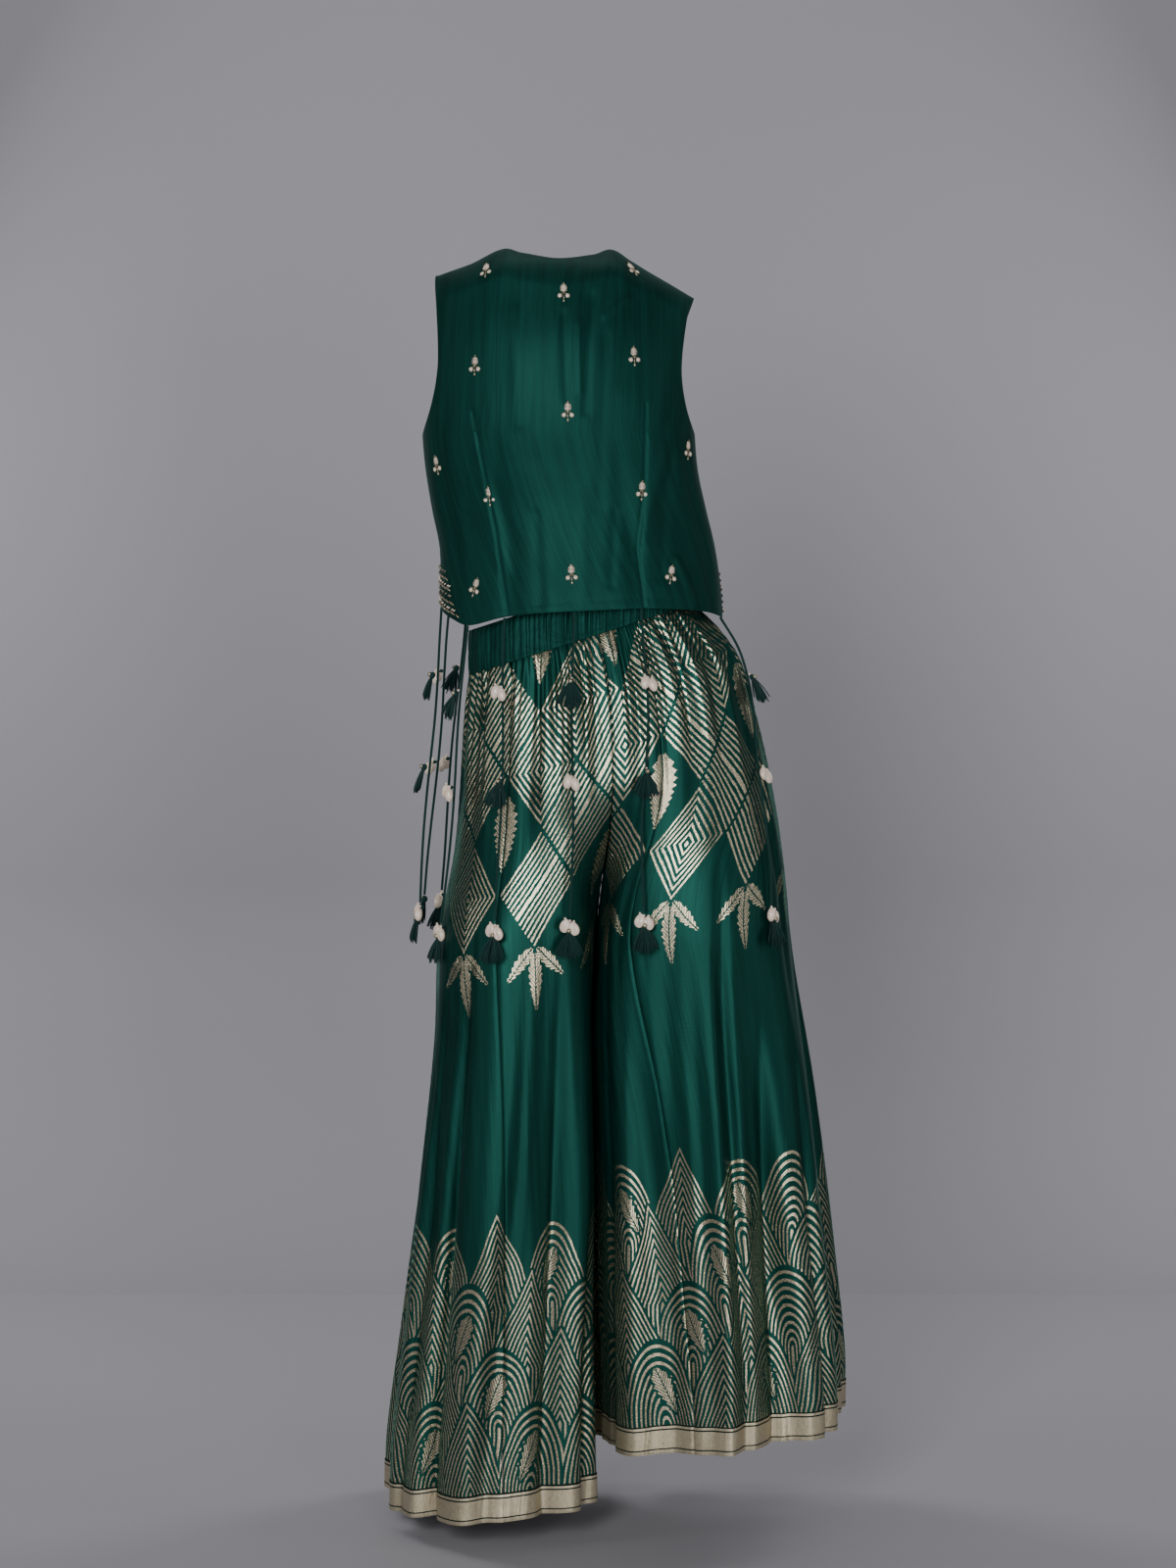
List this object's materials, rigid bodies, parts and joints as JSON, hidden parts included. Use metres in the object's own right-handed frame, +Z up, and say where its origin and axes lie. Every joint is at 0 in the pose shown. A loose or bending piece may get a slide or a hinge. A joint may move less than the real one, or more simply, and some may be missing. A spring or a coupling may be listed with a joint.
{
  "type": "palazzo suit",
  "caption": "Sleeveless silk top with tasselled hem cords over wide brocade trousers, kept in worn, hollow form.",
  "frame": {"origin": "middle of the waist, where the suit is held", "axes": "+Z up, -Y out of the wearer's back, +X to the wearer's right"},
  "size_m": [0.5608, 0.3366, 1.4953],
  "materials": {
    "green_silk": "soft sheen plain silk",
    "green_gathered_silk": "gathered plain silk",
    "green_brocade": "silk woven with pale gold thread",
    "gold_tissue": "metallic tissue",
    "green_cord": "round braided cord",
    "green_thread": "loose thread",
    "ivory_beads": "pearly",
    "ivory_shell": "small shell"
  },
  "bodies": {
    "root": {"cord_back_a": "green_cord", "cord_back_b": "green_cord", "cord_back_c": "green_cord", "cord_back_d": "green_cord", "cord_back_e": "green_cord", "cord_front_a": "green_cord", "cord_front_b": "green_cord", "cord_front_c": "green_cord", "cord_front_d": "green_cord", "cord_front_e": "green_cord", "cowries_back_a_end": "ivory_shell", "cowries_back_b_end": "ivory_shell", "cowries_back_c_end": "ivory_shell", "cowries_back_d_end": "ivory_shell", "cowries_back_e_middle": "ivory_shell", "cowries_front_c_end": "ivory_shell", "cowries_front_d_end": "ivory_shell", "cowries_front_e_end": "ivory_shell", "left_back_inner": "green_brocade", "left_back_outer": "green_brocade", "left_front": "green_brocade", "left_hem_border": "gold_tissue", "pearls_back_a_middle": "ivory_beads", "pearls_back_b_upper": "ivory_beads", "pearls_back_c_middle": "ivory_beads", "pearls_back_d_upper": "ivory_beads", "pearls_back_e_end": "ivory_beads", "pearls_front_a_end": "ivory_beads", "pearls_front_b_middle": "ivory_beads", "pearls_front_b_upper": "ivory_beads", "pearls_front_c_middle": "ivory_beads", "pearls_front_d_upper": "ivory_beads", "pearls_front_e_middle": "ivory_beads", "right_back_inner": "green_brocade", "right_back_outer": "green_brocade", "right_front": "green_brocade", "right_hem_border": "gold_tissue", "tassel_back_a_upper": "green_thread", "tassel_back_b_middle": "green_thread", "tassel_back_c_upper": "green_thread", "tassel_back_d_middle": "green_thread", "tassel_back_e_upper": "green_thread", "tassel_front_a_middle": "green_thread", "tassel_front_a_upper": "green_thread", "tassel_front_b_end": "green_thread", "tassel_front_c_upper": "green_thread", "tassel_front_d_middle": "green_thread", "tassel_front_e_upper": "green_thread", "top_back": "green_silk", "top_front": "green_silk", "waistband": "green_gathered_silk"}
  },
  "joints": []
}
